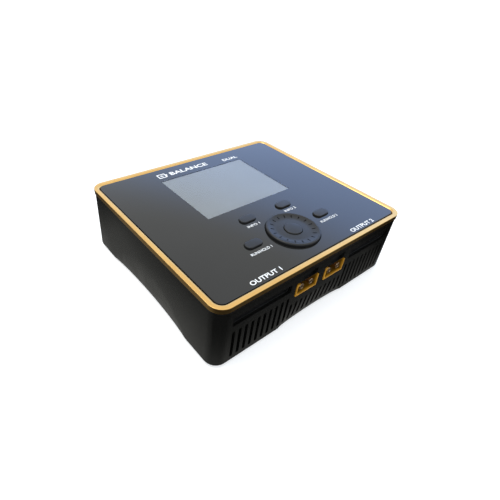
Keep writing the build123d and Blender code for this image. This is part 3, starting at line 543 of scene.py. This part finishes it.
# %% Mouldings
for key in ("balance_socket_1", "balance_socket_2", "usb_shell", "fan_frame_1", "fan_frame_2"):
    smooth_piece(key + "_moulding", key, edge=0.0)

# %% [markdown]
# ## Geometry trees
# What repeats or follows a path is made by Geometry Nodes. A small helper makes an empty tree with named
# inputs, and another runs a tree on a mesh and hands back the plain mesh that comes out.

# %% Tree helpers


def new_tree(name, inputs):
    """A tree with the named inputs, a material and a geometry in, and a geometry out."""
    tree = bpy.data.node_groups.new(name, "GeometryNodeTree")
    face = tree.interface
    face.new_socket("Geometry", in_out="INPUT", socket_type="NodeSocketGeometry")
    for label, kind in inputs.items():
        face.new_socket(label, in_out="INPUT", socket_type="NodeSocket" + kind)
    face.new_socket("Material", in_out="INPUT", socket_type="NodeSocketMaterial")
    face.new_socket("Geometry", in_out="OUTPUT", socket_type="NodeSocketGeometry")
    given = add_node(tree, "NodeGroupInput")
    return tree, given.outputs


def close_tree(tree, given, shape):
    """Ends a tree: real meshes, then the material."""
    real = add_node(tree, "GeometryNodeRealizeInstances")
    painted = add_node(tree, "GeometryNodeSetMaterial")
    end = add_node(tree, "NodeGroupOutput")
    tree.links.new(shape, real.inputs[0])
    tree.links.new(real.outputs[0], painted.inputs["Geometry"])
    tree.links.new(given["Material"], painted.inputs["Material"])
    tree.links.new(painted.outputs[0], end.inputs[0])


def grow(name, tree, mesh, finish, **values):
    """The plain mesh that a tree makes of a mesh."""
    holder = bpy.data.objects.new(name + "_holder", mesh or bpy.data.meshes.new(name))
    bpy.context.scene.collection.objects.link(holder)
    modifier = holder.modifiers.new("shape", "NODES")
    modifier.node_group = tree
    values = {label.replace("_", " "): value for label, value in values.items()}
    values["material"] = finishes[finish]
    for item in tree.interface.items_tree:
        if item.in_out == "INPUT" and item.name.lower() in values:
            modifier[item.identifier] = values[item.name.lower()]
    depsgraph = bpy.context.evaluated_depsgraph_get()
    made = bpy.data.meshes.new_from_object(holder.evaluated_get(depsgraph), depsgraph=depsgraph)
    bpy.data.objects.remove(holder)
    return made


# %% [markdown]
# ## The gold ring
# The ring is a bar bent round the panel. A rounded rectangle is its path, and its section is a small
# rectangle whose two outer corners are well rounded. Sweeping the section along the path gives the whole
# ring with even, continuous highlights, which a cut solid wouldn't have.

# %% Ring tree
ring_tree, given = new_tree("ring_sweep", {
    "Length": "Float", "Depth": "Float", "Corner": "Float", "Width": "Float", "Thickness": "Float",
    "Outer Edge": "Float", "Inner Edge": "Float", "Base": "Float"})
path_box = wire(ring_tree, "GeometryNodeCurvePrimitiveQuadrilateral", {
    "Width": maths(ring_tree, "SUBTRACT", given["Length"], given["Width"]),
    "Height": maths(ring_tree, "SUBTRACT", given["Depth"], given["Width"])})
half_width = maths(ring_tree, "MULTIPLY", given["Width"], 0.5)
path = wire(ring_tree, "GeometryNodeFilletCurve", {
    "Curve": path_box, "Count": 24, "Radius": maths(ring_tree, "SUBTRACT", given["Corner"], half_width)},
    mode="POLY")
path = wire(ring_tree, "GeometryNodeSetCurveNormal", {"Curve": path}, mode="Z_UP")
section_box = wire(ring_tree, "GeometryNodeCurvePrimitiveQuadrilateral", {
    "Width": given["Width"], "Height": given["Thickness"]})
position = add_node(ring_tree, "GeometryNodeInputPosition")
across = add_node(ring_tree, "ShaderNodeSeparateXYZ")
ring_tree.links.new(position.outputs[0], across.inputs[0])
outside = wire(ring_tree, "ShaderNodeMath", {0: across.outputs["X"], 1: 0.0}, operation="LESS_THAN")
edge_change = maths(ring_tree, "SUBTRACT", given["Outer Edge"], given["Inner Edge"])
edge = maths(ring_tree, "ADD", given["Inner Edge"], maths(ring_tree, "MULTIPLY", edge_change, outside))
section = wire(ring_tree, "GeometryNodeFilletCurve", {
    "Curve": section_box, "Count": 10, "Radius": edge, "Limit Radius": True}, mode="POLY")
swept = wire(ring_tree, "GeometryNodeCurveToMesh", {"Curve": path, "Profile Curve": section})
lift = add_node(ring_tree, "ShaderNodeCombineXYZ")
ring_tree.links.new(maths(ring_tree, "ADD", given["Base"], maths(
    ring_tree, "MULTIPLY", given["Thickness"], 0.5)), lift.inputs["Z"])
lifted = wire(ring_tree, "GeometryNodeTransform", {"Geometry": swept, "Translation": lift.outputs[0]})
close_tree(ring_tree, given, lifted)

# %% Ring
low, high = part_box("accent_ring")
panel_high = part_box("top_panel")[1]
ring_width = (high.x - panel_high.x) - 0.2 * MM
ring_mesh = grow(
    "gold_ring", ring_tree, None, "gold_ring", length=high.x - low.x, depth=high.y - low.y, corner=7.5 * MM,
    width=ring_width, thickness=high.z - low.z, outer_edge=1.4 * MM, inner_edge=0.15 * MM, base=low.z)
ring = new_piece("gold_ring", shade(ring_mesh, 40), "gold_ring")
place(ring, "case", "gold_ring", "accent_ring")
ring_spans = [[v.co[i] for v in ring_mesh.vertices] for i in range(3)]
ring_size = [max(span) - min(span) for span in ring_spans]
print("ring:", [round(x / MM, 2) for x in ring_size], "mm")

# %% [markdown]
# ## Display
# A thin clear lens lies flush in the panel's opening, and the grey film of the display is right behind it.

# %% Display pieces


def slab(name, low, high, corner, finish):
    """A flat plate between two corners, with rounded vertical edges."""
    bm = bmesh.new()
    x, y = (high.x - low.x) / 2 - corner, (high.y - low.y) / 2 - corner
    middle = (low + high) / 2
    rim = []
    for number, (side_x, side_y) in enumerate(((1, 1), (-1, 1), (-1, -1), (1, -1))):
        for step in range(5):
            turn = math.radians(90 * number + 22.5 * step)
            rim.append(bm.verts.new((middle.x + side_x * x + corner * math.cos(turn),
                                     middle.y + side_y * y + corner * math.sin(turn), low.z)))
    top = bmesh.ops.extrude_face_region(bm, geom=[bm.faces.new(rim)])["geom"]
    bmesh.ops.translate(bm, verts=[g for g in top if isinstance(g, bmesh.types.BMVert)],
                        vec=(0, 0, high.z - low.z))
    bmesh.ops.recalc_face_normals(bm, faces=bm.faces)
    mesh = bpy.data.meshes.new(name)
    bm.to_mesh(mesh)
    bm.free()
    return new_piece(name, mesh, finish)


low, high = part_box("display_window")
lens_thickness = 0.25 * MM
film_top = high.z - lens_thickness - 0.02 * MM
lens = slab("display_lens", Vector((low.x, low.y, high.z - lens_thickness)), high, 0.3 * MM, "screen_lens")
place(lens, "case", "screen_lens", "display_window")
film = slab("display_film", low.copy(), Vector((high.x, high.y, film_top)), 0.3 * MM, "lcd_screen")
place(film, "case", "lcd_screen")
print("display:", round((high.x - low.x) / MM, 1), "x", round((high.y - low.y) / MM, 1), "mm")

# %% [markdown]
# ## Balance pins
# Thirteen square pins stand in a row in each balance port. Each is a wire bent up at the back into the board
# above. The tree makes one bent pin from two bars and repeats it at an even pitch.

# %% Pin row tree
pin_tree, given = new_tree("pin_row", {
    "Count": "Int", "Pitch": "Float", "Thickness": "Float", "Reach": "Float", "Rise": "Float",
    "Middle": "Vector"})


def join(tree, *shapes):
    """Several shapes as one."""
    made = add_node(tree, "GeometryNodeJoinGeometry")
    for shape in reversed(shapes):
        tree.links.new(shape, made.inputs[0])
    return made.outputs[0]


def vector(tree, x, y, z):
    """A vector from three values, each a socket or a number."""
    return wire(tree, "ShaderNodeCombineXYZ", {"X": x, "Y": y, "Z": z})


def moved(tree, shape, shift, turn=(0, 0, 0)):
    """A shape turned and shifted."""
    return wire(tree, "GeometryNodeTransform", {"Geometry": shape, "Translation": shift, "Rotation": turn})


bar = wire(pin_tree, "GeometryNodeMeshCube", {
    "Size": vector(pin_tree, given["Thickness"], given["Reach"], given["Thickness"])})
leg = wire(pin_tree, "GeometryNodeMeshCube", {
    "Size": vector(pin_tree, given["Thickness"], given["Thickness"], given["Rise"])})
back = maths(pin_tree, "MULTIPLY", maths(pin_tree, "SUBTRACT", given["Reach"], given["Thickness"]), 0.5)
up = maths(pin_tree, "MULTIPLY", maths(pin_tree, "ADD", given["Rise"], given["Thickness"]), 0.5)
pin = join(pin_tree, bar, moved(pin_tree, leg, vector(pin_tree, 0.0, back, up)))
number = add_node(pin_tree, "GeometryNodeInputIndex").outputs[0]
from_middle = maths(pin_tree, "SUBTRACT", number, maths(
    pin_tree, "MULTIPLY", maths(pin_tree, "SUBTRACT", given["Count"], 1.0), 0.5))
spots = wire(pin_tree, "GeometryNodePoints", {
    "Count": given["Count"],
    "Position": vector(pin_tree, maths(pin_tree, "MULTIPLY", from_middle, given["Pitch"]), 0.0, 0.0)})
pins = wire(pin_tree, "GeometryNodeInstanceOnPoints", {"Points": spots, "Instance": pin})
close_tree(pin_tree, given, moved(pin_tree, pins, given["Middle"]))

# %% Pin rows
for key in ("balance_pins_1", "balance_pins_2"):
    low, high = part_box(key)
    thickness = 0.64 * MM
    pin_mesh = grow(
        key, pin_tree, None, node_slot[key], count=13, pitch=(high.x - low.x - thickness) / 12,
        thickness=thickness, reach=high.y - low.y, rise=high.z - low.z - thickness,
        middle=((low.x + high.x) / 2, (low.y + high.y) / 2, low.z + thickness / 2))
    place(new_piece(key + "_row", shade(pin_mesh, 30), node_slot[key]), "case", node_slot[key], key)
    print(key, "triangles:", sum(len(f.vertices) - 2 for f in pin_mesh.polygons))

# %% [markdown]
# ## Fan rotors
# A fan rotor is one moulding: a cup over the motor and seven blades round it, each turned to the axis and
# bent a little along its width to scoop the air. One blade is bent and turned, then repeated round the hub.

# %% Rotor tree
rotor_tree, given = new_tree("rotor", {
    "Blades": "Int", "Hub Radius": "Float", "Blade Radius": "Float", "Hub Height": "Float",
    "Cup Depth": "Float", "Cup Wall": "Float", "Blade Width": "Float", "Blade Thickness": "Float",
    "Blade Turn": "Float", "Blade Bend": "Float", "Blade Level": "Float", "Shaft Radius": "Float",
    "Shaft Length": "Float", "Shaft Base": "Float", "Seat": "Vector"})
root = 0.4 * MM
blade_length = maths(rotor_tree, "ADD", maths(
    rotor_tree, "SUBTRACT", given["Blade Radius"], given["Hub Radius"]), root)
blade_middle = maths(rotor_tree, "MULTIPLY", maths(
    rotor_tree, "SUBTRACT", maths(rotor_tree, "ADD", given["Blade Radius"], given["Hub Radius"]), root), 0.5)
flat_blade = wire(rotor_tree, "GeometryNodeMeshCube", {
    "Size": vector(rotor_tree, blade_length, given["Blade Thickness"], given["Blade Width"]),
    "Vertices X": 4, "Vertices Y": 2, "Vertices Z": 9})
along = split_xyz(rotor_tree, add_node(rotor_tree, "GeometryNodeInputPosition").outputs[0])["Z"]
from_edge = maths(rotor_tree, "POWER", maths(rotor_tree, "DIVIDE", along, maths(
    rotor_tree, "MULTIPLY", given["Blade Width"], 0.5)), 2.0)
bend = maths(rotor_tree, "MULTIPLY", maths(rotor_tree, "SUBTRACT", 0.5, from_edge), given["Blade Bend"])
bent_blade = wire(rotor_tree, "GeometryNodeSetPosition", {
    "Geometry": flat_blade, "Offset": vector(rotor_tree, 0.0, bend, 0.0)})
blade = moved(rotor_tree, bent_blade, (0, 0, 0), vector(rotor_tree, given["Blade Turn"], 0.0, 0.0))
turn = maths(rotor_tree, "MULTIPLY", add_node(rotor_tree, "GeometryNodeInputIndex").outputs[0], maths(
    rotor_tree, "DIVIDE", 2 * math.pi, given["Blades"]))
spots = wire(rotor_tree, "GeometryNodePoints", {
    "Count": given["Blades"],
    "Position": vector(rotor_tree,
                       maths(rotor_tree, "MULTIPLY", blade_middle, maths(rotor_tree, "COSINE", turn)),
                       maths(rotor_tree, "MULTIPLY", blade_middle, maths(rotor_tree, "SINE", turn)),
                       given["Blade Level"])})
# each blade takes its turn round the hub from its number
blades = wire(rotor_tree, "GeometryNodeInstanceOnPoints", {
    "Points": spots, "Instance": blade, "Rotation": vector(rotor_tree, 0.0, 0.0, turn)})
cap_height = maths(rotor_tree, "SUBTRACT", given["Hub Height"], given["Cup Depth"])
cap = moved(rotor_tree, wire(rotor_tree, "GeometryNodeMeshCylinder", {
    "Vertices": 64, "Radius": given["Hub Radius"], "Depth": cap_height}),
    vector(rotor_tree, 0.0, 0.0, maths(rotor_tree, "ADD", given["Cup Depth"], maths(
        rotor_tree, "MULTIPLY", cap_height, 0.5))))
cup_circle = wire(rotor_tree, "GeometryNodeCurvePrimitiveCircle", {
    "Resolution": 64, "Radius": maths(rotor_tree, "SUBTRACT", given["Hub Radius"], maths(
        rotor_tree, "MULTIPLY", given["Cup Wall"], 0.5))})
cup_path = wire(rotor_tree, "GeometryNodeSetCurveNormal", {"Curve": cup_circle}, mode="Z_UP")
cup_section = wire(rotor_tree, "GeometryNodeCurvePrimitiveQuadrilateral", {
    "Width": given["Cup Wall"], "Height": given["Cup Depth"]})
cup = moved(rotor_tree, wire(rotor_tree, "GeometryNodeCurveToMesh", {
    "Curve": cup_path, "Profile Curve": cup_section}),
    vector(rotor_tree, 0.0, 0.0, maths(rotor_tree, "MULTIPLY", given["Cup Depth"], 0.5)))
shaft = moved(rotor_tree, wire(rotor_tree, "GeometryNodeMeshCylinder", {
    "Vertices": 24, "Radius": given["Shaft Radius"], "Depth": given["Shaft Length"]}),
    vector(rotor_tree, 0.0, 0.0, maths(rotor_tree, "ADD", given["Shaft Base"], maths(
        rotor_tree, "MULTIPLY", given["Shaft Length"], 0.5))))
rotor = join(rotor_tree, blades, cap, cup, shaft)
close_tree(rotor_tree, given, moved(
    rotor_tree, rotor, given["Seat"], (-math.pi / 2, 0, 0)))

# %% Rotors
for key in ("fan_rotor_1", "fan_rotor_2"):
    low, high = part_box(key)
    hub_height = 7.0 * MM
    rotor_mesh = grow(
        key, rotor_tree, None, node_slot[key], blades=7, hub_radius=6.5 * MM, blade_radius=13.3 * MM,
        hub_height=hub_height, cup_depth=5.6 * MM, cup_wall=1.0 * MM, blade_width=7.9 * MM,
        blade_thickness=0.8 * MM, blade_turn=math.radians(38), blade_bend=0.5 * MM, blade_level=3.4 * MM,
        shaft_radius=0.75 * MM, shaft_length=8.0 * MM, shaft_base=-1.8 * MM,
        seat=(round((low.x + high.x) / 2 / MM) * MM, high.y - hub_height, 19 * MM))
    rotor_piece = new_piece(key + "_blades", shade(rotor_mesh, 35), node_slot[key])
    place(rotor_piece, node_body[key], node_slot[key], key)
    print(key, "triangles:", sum(len(f.vertices) - 2 for f in rotor_mesh.polygons))

# %% [markdown]
# ## Rubber feet
# Four round rubber pads carry the case. Each is a short disc with a chamfered lower edge, let into a shallow
# recess. The tree sets one pad on each of four points.

# %% Feet tree
feet_tree, given = new_tree("feet", {
    "Radius": "Float", "Chamfer": "Float", "Height": "Float", "Spacing X": "Float", "Spacing Y": "Float"})
corners = wire(feet_tree, "GeometryNodeMeshGrid", {
    "Size X": given["Spacing X"], "Size Y": given["Spacing Y"], "Vertices X": 2, "Vertices Y": 2})
body_height = maths(feet_tree, "SUBTRACT", given["Height"], given["Chamfer"])
disc = moved(feet_tree, wire(feet_tree, "GeometryNodeMeshCylinder", {
    "Vertices": 64, "Radius": given["Radius"], "Depth": body_height}),
    vector(feet_tree, 0.0, 0.0, maths(feet_tree, "ADD", given["Chamfer"], maths(
        feet_tree, "MULTIPLY", body_height, 0.5))))
lower_edge = wire(feet_tree, "GeometryNodeMeshCone", {
    "Vertices": 64, "Radius Top": given["Radius"], "Depth": given["Chamfer"],
    "Radius Bottom": maths(feet_tree, "SUBTRACT", given["Radius"], given["Chamfer"])})
feet = wire(feet_tree, "GeometryNodeInstanceOnPoints", {
    "Points": corners, "Instance": join(feet_tree, disc, lower_edge)})
close_tree(feet_tree, given, feet)

# %% Feet
low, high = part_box("rubber_feet")
foot_radius = 5.0 * MM
feet_mesh = grow(
    "feet", feet_tree, None, "foot_rubber", radius=foot_radius, chamfer=0.4 * MM, height=high.z - low.z,
    spacing_x=high.x - low.x - 2 * foot_radius, spacing_y=high.y - low.y - 2 * foot_radius)
place(new_piece("feet", shade(feet_mesh, 30), "foot_rubber"), "case", "foot_rubber", "rubber_feet")
print("feet: faces", len(feet_mesh.polygons))

# %% [markdown]
# ## Screws
# The fan screws in the rear wall and the long case screws under the case keep their CAD shapes.

# %% Screws
for key in ("fan_screws", "case_screws"):
    smooth_piece(key + "_black", key, edge=0.0)

# %% [markdown]
# ## Printed labels
# The panel carries plain white lettering: a name with a battery sign, a word for the type, one label under
# each channel and one by each button. It is printed with thick ink, so every letter is a thin solid that
# lies on the panel. Bold strokes come from an outward offset of the letter outlines.

# %% Label helpers
ink_height = 0.02 * MM
print_meshes = []


def printed(text, left, right, middle_y, letter_height, weight):
    """A line of letters that fills the width from left to right, in millimetres."""
    letters = bpy.data.curves.new("letters", "FONT")
    letters.body = text
    letters.offset = weight
    letters.extrude = 0.5
    letters.resolution_u = 4
    holder = bpy.data.objects.new("letters", letters)
    bpy.context.scene.collection.objects.link(holder)
    depsgraph = bpy.context.evaluated_depsgraph_get()
    mesh = bpy.data.meshes.new_from_object(holder.evaluated_get(depsgraph), depsgraph=depsgraph)
    bpy.data.objects.remove(holder)
    spans = [[f([v.co[i] for v in mesh.vertices]) for f in (min, max)] for i in range(3)]
    wanted = ((left * MM, right * MM),
              ((middle_y - letter_height / 2) * MM, (middle_y + letter_height / 2) * MM),
              (panel_high.z, panel_high.z + ink_height))
    for vert in mesh.vertices:
        for i in range(3):
            part = (vert.co[i] - spans[i][0]) / (spans[i][1] - spans[i][0])
            vert.co[i] = wanted[i][0] + part * (wanted[i][1] - wanted[i][0])
    print_meshes.append(mesh)


def printed_shape(outline):
    """A flat shape with straight edges, its corners given in millimetres."""
    bm = bmesh.new()
    rim = [bm.verts.new((x * MM, y * MM, panel_high.z)) for x, y in outline]
    top = bmesh.ops.extrude_face_region(bm, geom=[bm.faces.new(rim)])["geom"]
    bmesh.ops.translate(bm, verts=[g for g in top if isinstance(g, bmesh.types.BMVert)], vec=(0, 0, ink_height))
    bmesh.ops.recalc_face_normals(bm, faces=bm.faces)
    mesh = bpy.data.meshes.new("shape")
    bm.to_mesh(mesh)
    bm.free()
    print_meshes.append(mesh)


def printed_bar(left, bottom, right, top):
    """A flat bar between two corners."""
    printed_shape(((left, bottom), (right, bottom), (right, top), (left, top)))


# %% Labels
# words, left end, right end, middle, letter height, weight
labels_wanted = (
    ("BALANCE", -22.0, 7.5, 50.2, 3.9, 0.022),
    ("DUAL", 20.5, 33.1, 48.3, 2.9, 0.018),
    ("OUTPUT 1", -47.7, -27.9, -55.8, 2.7, 0.018),
    ("OUTPUT 2", 27.4, 48.0, -56.1, 2.7, 0.018),
    ("INFO 1", -19.0, -10.4, -22.2, 1.8, 0.008),
    ("INFO 2", 10.2, 19.0, -22.0, 1.8, 0.008),
    ("RUN/HOLD 1", -33.6, -19.5, -41.0, 1.8, 0.008),
    ("RUN/HOLD 2", 19.8, 34.2, -41.0, 1.8, 0.008),
)
for row in labels_wanted:
    printed(*row)
# the battery sign: a frame of four bars, a terminal and a lightning flash in two parts
battery_bars = ((-31.0, 47.7, -25.2, 48.4), (-31.0, 52.0, -25.2, 52.7), (-31.0, 48.4, -30.3, 52.0),
                (-25.9, 48.4, -25.2, 52.0), (-25.1, 49.3, -24.3, 51.1))
for bar_ends in battery_bars:
    printed_bar(*bar_ends)
printed_shape(((-28.3, 48.6), (-26.7, 50.6), (-27.9, 50.5)))
printed_shape(((-27.9, 51.8), (-29.5, 49.8), (-28.3, 49.9), (-27.95, 50.45)))
bm = bmesh.new()
for mesh in print_meshes:
    bm.from_mesh(mesh)
label_mesh = bpy.data.meshes.new("panel_print")
bm.to_mesh(label_mesh)
bm.free()
labels = new_piece("panel_print", label_mesh, "white_print")
for polygon in label_mesh.polygons:
    polygon.material_index = 0
place(labels, "case", "white_print")
print("labels: faces", len(label_mesh.polygons))
